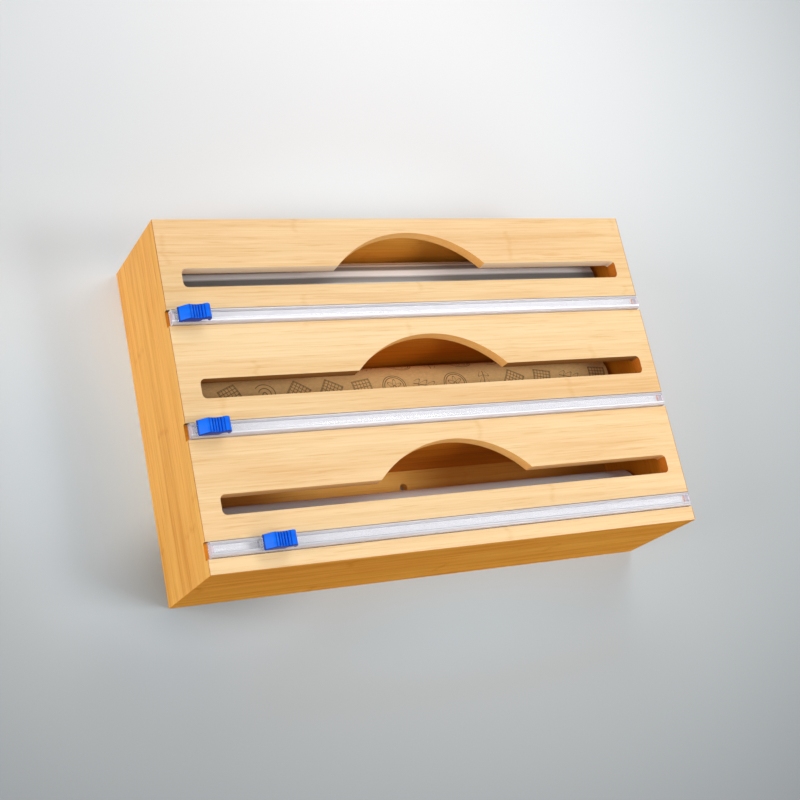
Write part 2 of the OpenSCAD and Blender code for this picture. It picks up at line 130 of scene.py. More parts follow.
def newGroup(name, inputs, outputs):
    tree = bpy.data.node_groups.new(name, "ShaderNodeTree")
    for socketName, kind, value in inputs:
        socket = tree.interface.new_socket(socketName, in_out="INPUT", socket_type=kind)
        if value is not None:
            socket.default_value = value
    for socketName, kind in outputs:
        tree.interface.new_socket(socketName, in_out="OUTPUT", socket_type=kind)
    return tree, addNode(tree, "NodeGroupInput").outputs, addNode(tree, "NodeGroupOutput").inputs


def newMaterial(name, turn=(0, 0, 0), shift=(0, 0, 0), **shader):
    material = bpy.data.materials.new(name)
    material.use_nodes = True
    tree = material.node_tree
    principled = tree.nodes["Principled BSDF"]
    for socket, value in shader.items():
        principled.inputs[socket.replace("_", " ")].default_value = value
    place = addNode(tree, "ShaderNodeTexCoord").outputs["Object"]
    turned = {"Vector": place, "Location": shift, "Rotation": [math.radians(a) for a in turn]}
    vector = addNode(tree, "ShaderNodeMapping", turned).outputs[0]
    return material, tree, principled, vector


def useGroup(tree, group, inputs):
    return addNode(tree, "ShaderNodeGroup", inputs, node_tree=group).outputs


def addBump(tree, principled, height, strength, depth):
    bump = {"Height": height, "Strength": strength, "Distance": depth}
    tree.links.new(addNode(tree, "ShaderNodeBump", bump).outputs[0], principled.inputs["Normal"])


# Floor, lamps and surroundings

studio = {
    "floorSize": 12.0,
    "floorCells": 8,
    "floorPale": (0.953, 0.926, 0.928, 1),
    "floorMid": (0.645, 0.689, 0.704, 1),
    "floorDeep": (0.048, 0.053, 0.058, 1),
    "floorRoughness": 0.62,
    "floorGloss": 0.25,
    "paintedPoolSpot": (0.058, 0.387, 0),  # middle of a painted pool of light, where the floor is palest, behind the case
    "fadeTurn": 13.5,  # degrees
    "fadeSize": (0.741, 0.83, 1),
    "paintedPatches": {  # place, size and tint of painted light and painted shadow patches round the case
        # painted light where the key lamp's shadow and the wall's warm bounce fall
        "wallSideLight": ((-0.15, -0.007, 0), (0.135, 0.185, 1), (1.36, 1.58, 1.78, 1)),
        # painted light over the rear end of the key lamp's shadow
        "rearLeftLight": ((-0.18, 0.09, 0), (0.20, 0.10, 1), (1.16, 1.15, 1.14, 1)),
        # painted shadow at the front left corner
        "corner": ((-0.133, -0.09, 0), (0.085, 0.049, 1), (0.45, 0.45, 0.44, 1)),
        # painted light along the front
        "frontSideLight": ((0.03, -0.13, 0), (0.20, 0.055, 1), (1.07, 1.18, 1.25, 1)),
        # painted light behind the case
        "rearSideLight": ((0.02, 0.15, 0), (0.17, 0.065, 1), (1.04, 1.09, 1.115, 1)),
    },
    "paperGrain": (900, 900, 900),
    "paperBump": (0.05, 0.2 * mm),
    "surround": (0.97, 0.98, 1.0, 1),
    "surroundLevel": 0.12,
    "seenLevel": 0.9,  # what the camera, metal and clear plastic see of it
}
lamps = {
    "keyLamp": {"place": (0.75, -0.40, 1.15), "aim": (0, 0, 0.05), "size": (0.5, 0.5), "power": 9.6},
    "leftLamp": {"place": (-1.15, -0.06, 0.45), "aim": (0, 0, 0.05), "size": (0.7, 0.9), "power": 10.1},
    "frontLamp": {"place": (0.35, -1.18, 0.55), "aim": (0.05, 0, 0.04), "size": (1.2, 0.5), "power": 4.7},
    "cameraLamp": {"place": (-0.95, -0.58, 1.80), "aim": (0, 0, 0.05), "size": (0.5, 0.5), "power": 4.7},
    "topLamp": {"place": (0.40, 0.42, 0.90), "aim": (0.05, 0.05, 0.07), "size": (0.4, 0.4), "power": 2.3},
    "rearLamp": {"place": (0.15, 1.05, 1.00), "aim": (0.10, 0.50, 0), "size": (0.9, 0.5), "power": 3.4},
}


def fadeFrom(tree, place, middle, size, turn=0.0):
    fade = {"Vector": place, "Location": middle, "Rotation": (0, 0, -math.radians(turn)), "Scale": size}
    return lengthOf(tree, addNode(tree, "ShaderNodeMapping", fade, vector_type="TEXTURE").outputs[0])


def makeFloor(look):
    bpy.ops.object.select_all(action="DESELECT")
    bpy.ops.mesh.primitive_grid_add(
        x_subdivisions=look["floorCells"], y_subdivisions=look["floorCells"], size=look["floorSize"])
    floor = bpy.context.object
    floor.name = "studioFloor"
    material, tree, principled, place = newMaterial(
        "studioPaper", Roughness=look["floorRoughness"], Specular_IOR_Level=look["floorGloss"])
    # the floor's colour fades out from a painted pool of light behind the case
    fade = fadeFrom(tree, place, look["paintedPoolSpot"], look["fadeSize"], look["fadeTurn"])
    ramp = addNode(tree, "ShaderNodeValToRGB", {"Fac": fade})
    ramp.color_ramp.interpolation = "B_SPLINE"
    ramp.color_ramp.elements[0].color = look["floorPale"]
    ramp.color_ramp.elements[1].color = look["floorDeep"]
    ramp.color_ramp.elements.new(0.5).color = look["floorMid"]  # half way
    colour = ramp.outputs[0]
    # the painted light and painted shadow patches multiply the floor's colour
    for middle, size, tint in look["paintedPatches"].values():
        inside = {"Value": fadeFrom(tree, place, middle, size), "To Min": 1.0, "To Max": 0.0}
        share = addNode(tree, "ShaderNodeMapRange", inside, interpolation_type="SMOOTHSTEP").outputs[0]
        colour = blendColours(tree, share, colour, tint, "MULTIPLY")
    tree.links.new(colour, principled.inputs["Base Color"])
    addBump(tree, principled, stretchedNoise(tree, place, look["paperGrain"]), *look["paperBump"])
    floor.data.materials.append(material)


def makeLamps(table):
    for name, lamp in table.items():
        place, aim = Vector(lamp["place"]), Vector(lamp["aim"])
        bpy.ops.object.light_add(type="AREA", location=place)
        light = bpy.context.object
        light.name = name
        light.rotation_euler = (aim - place).to_track_quat("-Z", "Y").to_euler()
        light.data.shape = "RECTANGLE"
        light.data.size, light.data.size_y = lamp["size"]
        light.data.energy = lamp["power"]
        light.visible_transmission = False  # its light passes clear plastic as shadow rays


def makeSurround(look):
    world = bpy.data.worlds.new("softRoom")
    bpy.context.scene.world = world
    world.use_nodes = True
    tree = world.node_tree
    background = tree.nodes["Background"]
    background.inputs["Color"].default_value = look["surround"]
    path = addNode(tree, "ShaderNodeLightPath").outputs
    seen = calc(tree, "MAXIMUM", path["Is Camera Ray"], path["Is Glossy Ray"])
    seen = calc(tree, "MAXIMUM", seen, path["Is Transmission Ray"])
    isFirst = calc(tree, "LESS_THAN", path["Diffuse Depth"], 0.5)  # before a bounce off a dull surface
    seen = calc(tree, "MULTIPLY", seen, isFirst)
    level = remap(tree, seen, 0.0, 1.0, look["surroundLevel"], look["seenLevel"])
    tree.links.new(level, background.inputs["Strength"])


makeFloor(studio)
makeLamps(lamps)
makeSurround(studio)
print("studio lit")

# Bamboo boards

bamboo = {
    "stripWidth": 20.5 * mm,
    "stripTones": (-0.22, 0.12),  # from the palest strip to the darkest
    "draws": (0.0, 41.7, 7.3),  # lots for a strip's tone, its place in the stem and its warmth
    "marks": {  # stretch, detail and roughness of a noise, where it darkens the wood, and by how much
        "fibres": ((14, 760, 760), 4.0, 0.6, (0.40, 0.70), 0.40),
        "flecks": ((38, 1000, 1000), 2.0, 0.55, (0.56, 0.72), 0.55),
        "streaks": ((4, 150, 150), 3.0, 0.55, (0.40, 0.68), 0.38),
        "hairs": ((60, 3200, 3200), 2.0, 0.55, (0.35, 0.75), 0.14),
        "clouds": ((9, 30, 30), 2.0, 0.55, (0.35, 0.68), 0.16),
    },
    "joint": {"pitch": 235 * mm, "width": 0.012, "wobble": (20, 140, 140), "dark": 0.55},  # width in pitches
    "glueLine": {"edges": (0.488, 0.499), "dark": 0.14},  # in widths from the middle of a strip
    "blush": (1.0, 0.945, 0.92, 1),  # warm patches over the tones
    "blushEdges": (0.35, 0.62),
    "roughness": (0.38, 0.52),
    "depths": {"fibres": 0.6, "hairs": 0.4, "glueLine": 0.5},
    "bump": (0.35, 0.12 * mm),
    "ease": 0.2 * mm,
    "tones": {  # pale tone, deep tone and gloss
        # the lid's face is paler than the walls: painted sheen of the overhead light
        "face": ((0.845, 0.607, 0.325, 1), (0.706, 0.425, 0.168, 1), 0.40),
        "wall": ((0.855, 0.441, 0.089, 1), (0.64, 0.252, 0.029, 1), 0.15),
        "front": ((0.846, 0.389, 0.068, 1), (0.622, 0.224, 0.021, 1), 0.0),
        "rear": ((1.0, 0.47, 0.07, 1), (0.86, 0.32, 0.03, 1), 0.15),
        # darker tone for the dividers, the notches and the walls' inner faces: painted shade
        "divider": ((0.74, 0.245, 0.016, 1), (0.56, 0.15, 0.006, 1), 0.10),
        "base": ((1.0, 0.62, 0.16, 1), (0.88, 0.44, 0.075, 1), 0.15),
        "cut": ((1.0, 0.57, 0.18, 1), (0.90, 0.43, 0.10, 1), 0.10),  # slot and arch walls
        "groove": ((0.17, 0.11, 0.07, 1), (0.11, 0.065, 0.035, 1), 0.0),  # shaded walls beside the rails
        "foilSlot": ((1.0, 0.86, 0.64, 1), (0.95, 0.75, 0.48, 1), 0.2),  # painted light on the far wall of the rear slot, bright as if lit off the foil
        "paperSlot": ((0.34, 0.16, 0.045, 1), (0.24, 0.10, 0.025, 1), 0.0),  # painted shade on the far wall of the slot over the paper
        "filmSlot": ((0.86, 0.52, 0.20, 1), (0.74, 0.40, 0.13, 1), 0.1),
        # dark: painted shade on the slots' end walls
        "slotEnd": ((0.66, 0.21, 0.026, 1), (0.55, 0.15, 0.012, 1), 0.0),
    },
    "archShade": {  # painted shade: the base is darker away from the arches
        "middle": -35 * mm,
        "reach": (24 * mm, 70 * mm),
        "unlit": (0.56, 0.38, 0.25, 1),
    },
}


def makeBambooGroup(look):
    pale, deep, _ = look["tones"]["wall"]
    tree, given, result = newGroup(
        "bambooGrain",
        [("Vector", "NodeSocketVector", None), ("Seed", "NodeSocketFloat", 0.0),
         ("Pale", "NodeSocketColor", pale), ("Deep", "NodeSocketColor", deep)],
        [("Color", "NodeSocketColor"), ("Roughness", "NodeSocketFloat"), ("Height", "NodeSocketFloat")],
    )

    def dice(value, shift):
        seed = calc(tree, "ADD", value, shift)
        return addNode(tree, "ShaderNodeTexWhiteNoise", {"W": seed}, noise_dimensions="1D").outputs["Value"]

    def addShare(total, mask, share):
        return calc(tree, "ADD", total, calc(tree, "MULTIPLY", mask, share))

    axes = splitAxes(tree, given["Vector"])
    strips = calc(tree, "ADD", calc(tree, "DIVIDE", axes["Y"], look["stripWidth"]), given["Seed"])
    strip = calc(tree, "FLOOR", strips)
    tone, slide, warmth = (dice(strip, draw) for draw in look["draws"])
    # each strip is cut from another place of the stem
    along = calc(tree, "ADD", axes["X"], slide)
    moved = addNode(tree, "ShaderNodeCombineXYZ", {
        "X": along, "Y": axes["Y"], "Z": calc(tree, "ADD", axes["Z"], tone)}).outputs[0]
    dark = remap(tree, tone, 0.0, 1.0, *look["stripTones"])
    masks = {}
    for mark, (stretch, detail, roughness, edges, share) in look["marks"].items():
        masks[mark] = stretchedNoise(tree, moved, stretch, detail, roughness)
        dark = addShare(dark, remap(tree, masks[mark], *edges), share)
    # the stem's joints, one or two on each strip
    joint = look["joint"]
    wobble = spread(tree, stretchedNoise(tree, moved, joint["wobble"]), -joint["width"], joint["width"])
    away = calc(tree, "ADD", fromMiddle(tree, calc(tree, "DIVIDE", along, joint["pitch"])), wobble)
    ring = remap(tree, calc(tree, "ABSOLUTE", away), 0.0, joint["width"], 1.0, 0.0)
    dark = addShare(dark, calc(tree, "MULTIPLY", ring, masks["fibres"]), joint["dark"])
    side = calc(tree, "ABSOLUTE", fromMiddle(tree, strips))
    masks["glueLine"] = remap(tree, side, *look["glueLine"]["edges"])
    dark = addShare(dark, masks["glueLine"], look["glueLine"]["dark"])
    dark = addNode(tree, "ShaderNodeClamp", {0: dark}).outputs[0]
    colour = blendColours(tree, dark, given["Pale"], given["Deep"])
    warm = calc(tree, "MULTIPLY", remap(tree, masks["clouds"], *look["blushEdges"]), warmth)
    colour = blendColours(tree, warm, colour, look["blush"], "MULTIPLY")
    height = 0.0
    for mark, depth in look["depths"].items():
        height = addShare(height, masks[mark], -depth)
    tree.links.new(colour, result["Color"])
    tree.links.new(spread(tree, masks["fibres"], *look["roughness"]), result["Roughness"])
    tree.links.new(height, result["Height"])
    return tree


bambooGroup = makeBambooGroup(bamboo)


def makeBamboo(name, turn, seed, kind):
    pale, deep, gloss = bamboo["tones"][kind]
    material, tree, principled, vector = newMaterial(name, turn, Specular_IOR_Level=gloss)
    grain = useGroup(tree, bambooGroup, {"Vector": vector, "Seed": seed, "Pale": pale, "Deep": deep})
    colour = grain["Color"]
    # painted shade on the base away from the arches
    if kind == "base":
        archShade = bamboo["archShade"]
        away = calc(tree, "SUBTRACT", splitAxes(tree, vector)["X"], archShade["middle"])
        share = remap(tree, calc(tree, "ABSOLUTE", away), *archShade["reach"])
        colour = blendColours(tree, share, colour, archShade["unlit"], "MULTIPLY")
    tree.links.new(colour, principled.inputs["Base Color"])
    tree.links.new(grain["Roughness"], principled.inputs["Roughness"])
    addBump(tree, principled, grain["Height"], *bamboo["bump"])
    return material


edgeFinish = {
    "merge": 0.001 * mm,
    "flatAngle": 0.4,  # degrees
    "segments": 2,
    "sharpAngle": 30,
    "faceWeight": 80,
}


def easeEdges(piece, width):
    weld = piece.modifiers.new("mergeCorners", "WELD")
    weld.merge_threshold = edgeFinish["merge"]
    flat = piece.modifiers.new("flatFaces", "DECIMATE")
    flat.decimate_type = "DISSOLVE"
    flat.angle_limit = math.radians(edgeFinish["flatAngle"])
    ease = piece.modifiers.new("easedEdges", "BEVEL")
    ease.width = width
    ease.segments = edgeFinish["segments"]
    ease.limit_method = "ANGLE"
    ease.angle_limit = math.radians(edgeFinish["sharpAngle"])
    ease.use_clamp_overlap = True
    even = piece.modifiers.new("evenShading", "WEIGHTED_NORMAL")
    even.keep_sharp = True
    even.weight = edgeFinish["faceWeight"]
    for polygon in piece.data.polygons:
        polygon.use_smooth = True


def dress(node, material, ease):
    piece = nodes[node]
    piece.data.materials.clear()
    piece.data.materials.append(material)
    easeEdges(piece, ease)


def dressZones(node, finishes, findZone):
    mesh = nodes[node].data
    order = [None] + list(finishes)  # faces in no zone keep the piece's own finish
    for finish in finishes.values():
        mesh.materials.append(finish)
    for polygon in mesh.polygons:
        polygon.material_index = order.index(findZone(polygon))


alongX, faceUp, alongY = (-90, 0, 0), (0, 0, 0), (-90, -90, 0)  # how a board's grain and face lie
boards = {  # lie, seed and tones
    "lid_panel": (faceUp, 3.2, "face"),
    "base_panel": (faceUp, 11.4, "base"),
    "front_wall": (alongX, 5.3, "front"),
    "rear_wall": (alongX, 23.8, "rear"),
    "left_wall": (alongY, 8.6, "wall"),
    "right_wall": (alongY, 31.1, "wall"),
    "front_divider": (alongX, 15.5, "divider"),
    "rear_divider": (alongX, 19.9, "divider"),
}
cuts = {
    "lidSeed": 12.7,
    "notchSeed": 4.1,
    "innerSeed": 8.6,
    "near": 1 * mm,
    "slotReach": 31 * mm,  # from the middle of a rail to the far wall of its slot
    "slotEnds": 145 * mm,  # past this a slot's walls turn
    "lidMargin": 5 * mm,  # how far short of a rail's end the slots stop
    "upright": 0.999,  # least share of Y in the normal of a groove's wall
    "steep": 0.5,  # most share of Z in the normal of a slot's wall
    "inward": 0.1,  # least product of an inner face's normal and place along X
}
railBoxes = {wrap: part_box(wrap + "_rail") for wrap in wraps}
railMiddles = {wrap: (low.y + high.y) / 2 for wrap, (low, high) in railBoxes.items()}


def isInGroove(place):
    near = cuts["near"]
    return any(low.y - near < place.y < high.y + near and place.z > low.z - near
               for low, high in railBoxes.values())


def lidZone(polygon):
    place, normal = polygon.center, polygon.normal
    if isInGroove(place) and abs(normal.y) > cuts["upright"]:
        return "groove"
    if abs(normal.z) >= cuts["steep"]:
        return None
    for wrap in wraps:
        if abs(place.y - railMiddles[wrap] - cuts["slotReach"]) < cuts["near"]:
            return wrap + "Slot"
    lidEnd = railBoxes["foil"][1].x - cuts["lidMargin"]
    return "slotEnd" if cuts["slotEnds"] < abs(place.x) < lidEnd else "cut"


def wallZone(polygon):
    place, normal = polygon.center, polygon.normal
    if isInGroove(place):
        return "groove" if abs(normal.y) > cuts["upright"] else "notch"
    return "inner" if normal.x * place.x < -cuts["inward"] else None


for node, (lie, seed, kind) in boards.items():
    dress(node, makeBamboo(node + "Bamboo", lie, seed, kind), bamboo["ease"])
lidCuts = {kind: makeBamboo(kind + "Bamboo", alongX, cuts["lidSeed"], kind)
           for kind in ("cut", "groove", "foilSlot", "paperSlot", "filmSlot", "slotEnd")}
# the notches and inner faces of the end walls take the darker divider tone: painted shade
wallCuts = {
    "notch": makeBamboo("notchBamboo", faceUp, cuts["notchSeed"], "divider"),
    "groove": lidCuts["groove"],
    "inner": makeBamboo("innerBamboo", alongY, cuts["innerSeed"], "divider"),
}
dressZones("lid_panel", lidCuts, lidZone)
for end in caseEnds:
    dressZones(end + "_wall", wallCuts, wallZone)
print("boards finished")

# Clear rails with their tape and end plugs

clearPlastic = {
    "colour": (0.95, 0.95, 0.96, 1),
    "roughness": 0.13,
    "uneven": (0.8, 1.2),  # times the roughness
    "index": 1.49,
    "clearness": 0.90,  # the rest is a milky haze
    "shadowTint": (0.76, 0.76, 0.79, 1),
    "bump": (0.006, 0.1 * mm),
}
drawnLines = (0.8, 1500, 1500)  # marks of a rail that is drawn out along X
mouldedMarks = (300, 300, 300)
# milky tints that paint the rails' highlight and shade bands
railZones = {
    "foilBead": {"colour": (0.92, 0.93, 0.95, 1), "clearness": 0.30},  # milky round edge: painted highlight
    # the paper and film beads are greyer: a dimmer painted highlight
    "paperBead": {"colour": (0.80, 0.81, 0.83, 1), "clearness": 0.30},
    "filmBead": {"colour": (0.60, 0.61, 0.64, 1), "clearness": 0.30},
    # grey: painted shade on the rear bead
    "rearBead": {"colour": (0.55, 0.55, 0.595, 1), "clearness": 0.45},
    "frontEdge": {"colour": (0.66, 0.54, 0.45, 1), "clearness": 0.50},  # brownish: partly the wood that shows through, partly painted shade
    # grey shoulders: painted shade on the lips
    "rearShoulder": {"colour": (0.75, 0.745, 0.78, 1), "clearness": 0.50},
    "frontShoulder": {"colour": (0.66, 0.62, 0.635, 1), "clearness": 0.50},
    "plug": {"colour": (0.74, 0.69, 0.74, 1), "clearness": 0.55},
    # dark: painted shadow line along the rear edge
    "rearEdge": {"colour": (0.24, 0.215, 0.21, 1), "clearness": 0.30},
}
railLines = {  # where the zones lie, from the middle and the top of a rail
    "frontFace": 4.5 * mm,
    "rearFace": 3.8 * mm,
    "rearDepth": 2 * mm,
    "lip": 1.9 * mm,
    "lipDepth": 1.25 * mm,
    "bead": 3.3 * mm,
    "frontward": 0.9,  # least shares of the normal
    "rearward": 0.15,
    "upward": 0.3,
}
sliver = 0.02 * mm  # keeps touching faces of see-through pieces apart
foamTape = {
    "tones": ((0.655, 0.65, 0.64, 1), (0.645, 0.64, 0.63, 1)),
    "roughness": 0.75,
    "foam": (2600, 2600, 2600),
    "bump": (0.015, 0.1 * mm),
}


def makeClear(name, look, marks):
    material, tree, principled, vector = newMaterial(
        name, Base_Color=look["colour"], IOR=look["index"], Transmission_Weight=look["clearness"])
    lines = stretchedNoise(tree, vector, marks, detail=1.0)
    least, most = (look["roughness"] * share for share in look["uneven"])
    tree.links.new(spread(tree, lines, least, most), principled.inputs["Roughness"])
    addBump(tree, principled, lines, *look["bump"])
    # lamps reach what lies under the plastic
    passing = addNode(tree, "ShaderNodeBsdfTransparent", {"Color": look["shadowTint"]}).outputs[0]
    shadow = addNode(tree, "ShaderNodeLightPath").outputs["Is Shadow Ray"]
    mixed = addNode(tree, "ShaderNodeMixShader", {0: shadow, 1: principled.outputs[0], 2: passing})
    tree.links.new(mixed.outputs[0], tree.nodes["Material Output"].inputs["Surface"])
    return material


def makeTape(look):
    material, tree, principled, vector = newMaterial("foamTape", Roughness=look["roughness"])
    foam = stretchedNoise(tree, vector, look["foam"])
    colour = blendColours(tree, spread(tree, foam), *look["tones"])
    tree.links.new(colour, principled.inputs["Base Color"])
    addBump(tree, principled, foam, *look["bump"])
    return material


zoneClear = {zone: makeClear(zone + "Clear", {**clearPlastic, **look}, drawnLines)
             for zone, look in railZones.items()}
railFinishes = {  # finish and eased edges
    "rail": (makeClear("clearRail", clearPlastic, drawnLines), 0.16 * mm),
    "rail_tape": (makeTape(foamTape), 0.1 * mm),
    "rail_stops": (zoneClear["plug"], 0.1 * mm),
    "runner": (makeClear("clearRunner", clearPlastic, mouldedMarks), 0.12 * mm),
}


def drawIn(piece, distance):
    shrink = piece.modifiers.new("drawnIn", "DISPLACE")
    shrink.direction = "NORMAL"
    shrink.mid_level = 0.0
    shrink.strength = -distance


def dressRailZones(wrap):
    top = railBoxes[wrap][1].z

    def railZone(polygon):
        y, drop = polygon.center.y - railMiddles[wrap], top - polygon.center.z
        normal = polygon.normal
        # faces that take the painted highlight and shade tints
        if normal.y < -railLines["frontward"] and y < -railLines["frontFace"]:
            return "frontEdge"
        if normal.y > railLines["rearward"] and y > railLines["rearFace"] and drop < railLines["rearDepth"]:
            return "rearEdge"
        isLip = abs(y) > railLines["lip"] and drop < railLines["lipDepth"]
        if isLip and abs(y) < railLines["bead"]:
            return wrap + "Bead" if y < 0 else "rearBead"
        if isLip and normal.z > railLines["upward"]:
            return "frontShoulder" if y < 0 else "rearShoulder"
        return None

    zones = ("frontEdge", "rearEdge", wrap + "Bead", "rearBead", "frontShoulder", "rearShoulder")
    dressZones(wrap + "_rail", {zone: zoneClear[zone] for zone in zones}, railZone)


for wrap in wraps:
    for part, (finish, ease) in railFinishes.items():
        dress(wrap + "_" + part, finish, ease)
    dressRailZones(wrap)
    drawIn(nodes[wrap + "_rail_tape"], sliver)
    drawIn(nodes[wrap + "_rail_stops"], sliver)
print("rails and runners finished")

# Slider grips

gripShape = {
    "nose": 1.4,  # upright front face, in millimetres like the rest
    "ramp": (5.0, 5.6),  # length, and height at its top
    "saddle": (4.8, 9.5),  # lowest height and radius
    "rearHump": (6.8, 3.4),  # height and radius
    "hook": (1.6, 1.6),  # thickness and drop
    "wrapGap": (5.0, 2.5),  # length and height
    "wrapRamp": 1.2,
    "ribs": 5,
    "ribPitch": 1.75,
    "ribRadius": 0.55,
    "ribLift": 0.15,
    "ribSides": 20,
    "ribEnd": (0.7, 3),  # rounding as a share of the radius, and its segments
    "rimEase": (0.45, 4),  # rounding and its segments
    "rimFrom": 0.5,  # height above which the rims are rounded
    "turnEase": 0.5,  # rounds the top of the ramp
    "step": 0.35,  # spacing of points on the round top
    "lift": 0.03,  # seat above the runner
    "smooth": 38,  # degrees
}
flush = 1e-7  # in metres, what counts as no difference


def lower(first, second, ease):
    near = max(ease - abs(first - second), 0) / ease
    return min(first, second) - near ** 2 * ease / 4


def saddleMiddle(length):
    return (gripShape["ramp"][0] + length - gripShape["rearHump"][1]) / 2


def saddleHeight(x, middle):
    low, radius = gripShape["saddle"]
    return low + radius - math.sqrt(max(radius ** 2 - (x - middle) ** 2, 0))


def gripTop(x, length):
    rampLength, rampHeight = gripShape["ramp"]
    rearHeight, rearRadius = gripShape["rearHump"]
    stop = length - rearRadius
    ramp = gripShape["nose"] + (rampHeight - gripShape["nose"]) * x / rampLength
    top = rampHeight + (rearHeight - rampHeight) * (x - rampLength) / (stop - rampLength)
    if x > stop:
        top = rearHeight - rearRadius + math.sqrt(max(rearRadius ** 2 - (x - stop) ** 2, 0))
    saddle = saddleHeight(x, saddleMiddle(length))
    return lower(ramp, lower(top, saddle, gripShape["turnEase"] / 2), gripShape["turnEase"])


def gripOutline(length):
    hook, drop = gripShape["hook"]
    gapLength, gapHeight = gripShape["wrapGap"]
    gapStart = length - hook - gapLength
    steps = round(length / gripShape["step"])
    # closer points where the ends turn down
    along = [length * (1 - math.cos(math.pi * i / steps)) / 2 for i in range(steps + 1)]
    outline = [(0.0, gripShape["lift"])] + [(x, gripTop(x, length)) for x in along]
    outline += [(length, gapHeight - drop), (length - hook, gapHeight - drop), (length - hook, gapHeight)]
    outline += [(gapStart + gripShape["wrapRamp"], gapHeight), (gapStart, gripShape["lift"])]
    return outline


def selectEdges(piece, test):
    bpy.ops.object.mode_set(mode="EDIT")
    bpy.ops.mesh.select_mode(type="EDGE")
    bpy.ops.mesh.select_all(action="DESELECT")
    bpy.ops.object.mode_set(mode="OBJECT")
    corners = piece.data.vertices
    for edge in piece.data.edges:
        edge.select = test(*(corners[i].co for i in edge.vertices))
    bpy.ops.object.mode_set(mode="EDIT")


def applyModifiers(piece):
    bpy.context.view_layer.objects.active = piece
    for modifier in list(piece.modifiers):
        bpy.ops.object.modifier_apply(modifier=modifier.name)


def makeRib(place, width):
    radius = gripShape["ribRadius"] * mm
    bpy.ops.mesh.primitive_cylinder_add(vertices=gripShape["ribSides"], radius=radius, depth=width,
                                        location=place, rotation=(math.radians(90), 0, 0))
    rib = bpy.context.object
    bpy.ops.object.transform_apply(location=True, rotation=True, scale=True)
    selectEdges(rib, lambda a, b: abs(a.y - b.y) < flush)
    share, segments = gripShape["ribEnd"]
    bpy.ops.mesh.bevel(offset=radius * share, segments=segments)
    bpy.ops.object.mode_set(mode="OBJECT")
    return rib


def addRibs(grip, low, high):
    middle = saddleMiddle((high.x - low.x) / mm)
    width = high.y - low.y - 2 * gripShape["ribRadius"] * mm
    ribs = []
    for i in range(gripShape["ribs"]):
        x = middle + (i - (gripShape["ribs"] - 1) / 2) * gripShape["ribPitch"]
        z = saddleHeight(x, middle) + gripShape["ribLift"]
        ribs.append(makeRib((low.x + x * mm, (low.y + high.y) / 2, low.z + z * mm), width))
    for rib in ribs:
        union = grip.modifiers.new("rib", "BOOLEAN")
        union.operation = "UNION"
        union.object = rib
    applyModifiers(grip)
    for rib in ribs:
        bpy.data.objects.remove(rib)


def makeGrip(wrap, material):
    low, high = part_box(wrap + "_grip")
    outline = gripOutline((high.x - low.x) / mm)
    bpy.ops.object.select_all(action="DESELECT")
    bpy.ops.mesh.primitive_circle_add(vertices=len(outline), fill_type="NGON")
    grip = bpy.context.object
    grip.name = wrap + "SliderGrip"
    for corner, (x, z) in zip(grip.data.vertices, outline):
        corner.co = (low.x + x * mm, low.y, low.z + z * mm)
    bpy.ops.object.mode_set(mode="EDIT")
    bpy.ops.mesh.select_all(action="SELECT")
    bpy.ops.mesh.extrude_region_move(TRANSFORM_OT_translate={"value": (0, high.y - low.y, 0)})
    bpy.ops.mesh.select_all(action="SELECT")
    bpy.ops.mesh.normals_make_consistent(inside=False)
    rimFrom = low.z + gripShape["rimFrom"] * mm
    selectEdges(grip, lambda a, b: abs(a.y - b.y) < flush and min(a.z, b.z) > rimFrom)
    ease, segments = gripShape["rimEase"]
    bpy.ops.mesh.bevel(offset=ease * mm, segments=segments, clamp_overlap=True)
    bpy.ops.object.mode_set(mode="OBJECT")
    addRibs(grip, low, high)
    bpy.ops.object.select_all(action="DESELECT")
    grip.select_set(True)
    bpy.context.view_layer.objects.active = grip
    bpy.ops.object.shade_smooth_by_angle(angle=math.radians(gripShape["smooth"]))
    grip.data.materials.append(material)
    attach(grip, wrap + "_slider")
    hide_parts(wrap + "_grip")


bluePlastic = {
    "tones": ((0.002, 0.125, 0.80, 1), (0.005, 0.175, 0.93, 1)),
    "shadeNavy": (0.001, 0.012, 0.20, 1),  # painted shade on the sides and in the roots of the ribs
    "gloss": 0.12,
    "roughness": (0.28, 0.40),
    "pores": (2600, 2600, 2600),
    "flow": (120, 260, 260),
    "rootEdges": (0.06, 0.26),  # in ribs, from the middle of a root
    "rootShade": 0.65,
    "rootMargin": 0.3,
    "noseEdges": (0.20 * mm, 0.45 * mm),  # how far in the painted shade of the front and sides reaches
    "sideEdges": (0.15 * mm, 0.40 * mm),
    "sideShade": 0.85,
    "bump": (0.12, 0.04 * mm),
}


